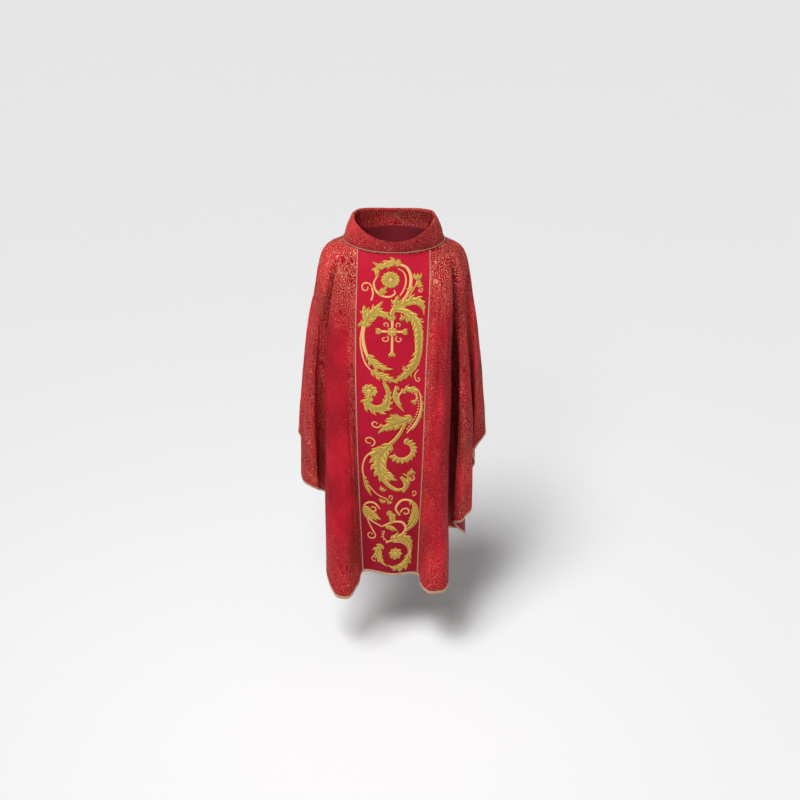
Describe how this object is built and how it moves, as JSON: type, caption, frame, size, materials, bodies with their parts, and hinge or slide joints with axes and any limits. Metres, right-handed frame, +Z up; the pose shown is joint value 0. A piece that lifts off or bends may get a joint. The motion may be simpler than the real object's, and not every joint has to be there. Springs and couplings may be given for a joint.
{
  "type": "chasuble",
  "caption": "gothic chasuble hanging in soft folds, brocade side panels, a plain satin centre panel with raised scroll embroidery, a wide standing collar and a bound hem",
  "frame": {"origin": "the middle of the neck opening, at the height where the garment rests on the wearer's shoulders", "axes": "+Z up along the wearer, -Y towards the front of the garment, +X to the right as seen from the front"},
  "size_m": [0.6999, 0.5631, 1.3746],
  "materials": {
    "damask": "brocade with a gold thread figure",
    "satin": "smooth satin",
    "lining": "matt plain weave",
    "canvas": "matt woven canvas",
    "braid": "woven metal thread",
    "gold_stitch": "raised satin stitch"
  },
  "bodies": {
    "root": {"back_embroidered_cross": "gold_stitch", "back_left_galloon": "braid", "back_left_hem_binding": "braid", "back_left_panel": "damask", "back_lining": "lining", "back_orphrey_hem_binding": "braid", "back_orphrey_interfacing": "canvas", "back_orphrey_panel": "satin", "back_right_galloon": "braid", "back_right_hem_binding": "braid", "back_right_panel": "damask", "collar_band": "damask", "collar_interlining": "canvas", "collar_piping": "braid", "embroidery_acanthus_scroll": "gold_stitch", "embroidery_beaded_stem": "gold_stitch", "embroidery_bottom_rosette": "gold_stitch", "embroidery_bottom_roundel": "gold_stitch", "embroidery_bud_sprig": "gold_stitch", "embroidery_centre_cross": "gold_stitch", "embroidery_fan_leaf": "gold_stitch", "embroidery_left_flower_leaf": "gold_stitch", "embroidery_left_stem": "gold_stitch", "embroidery_lower_left_scroll": "gold_stitch", "embroidery_lower_left_tendril": "gold_stitch", "embroidery_lower_right_scroll": "gold_stitch", "embroidery_middle_scroll": "gold_stitch", "embroidery_petal_crescent": "gold_stitch", "embroidery_right_loop": "gold_stitch", "embroidery_small_pendants": "gold_stitch", "embroidery_top_flower": "gold_stitch", "embroidery_top_roundel": "gold_stitch", "embroidery_upper_left_leaf": "gold_stitch", "embroidery_upper_left_tendril": "gold_stitch", "embroidery_upper_right_leaf": "gold_stitch", "embroidery_wreath_left": "gold_stitch", "embroidery_wreath_right": "gold_stitch", "front_left_galloon": "braid", "front_left_hem_binding": "braid", "front_left_panel": "damask", "front_lining": "lining", "front_orphrey_hem_binding": "braid", "front_orphrey_interfacing": "canvas", "front_orphrey_panel": "satin", "front_right_galloon": "braid", "front_right_hem_binding": "braid", "front_right_panel": "damask", "left_shoulder_tape": "canvas", "neck_seam_tape": "canvas", "right_shoulder_tape": "canvas"}
  },
  "joints": []
}
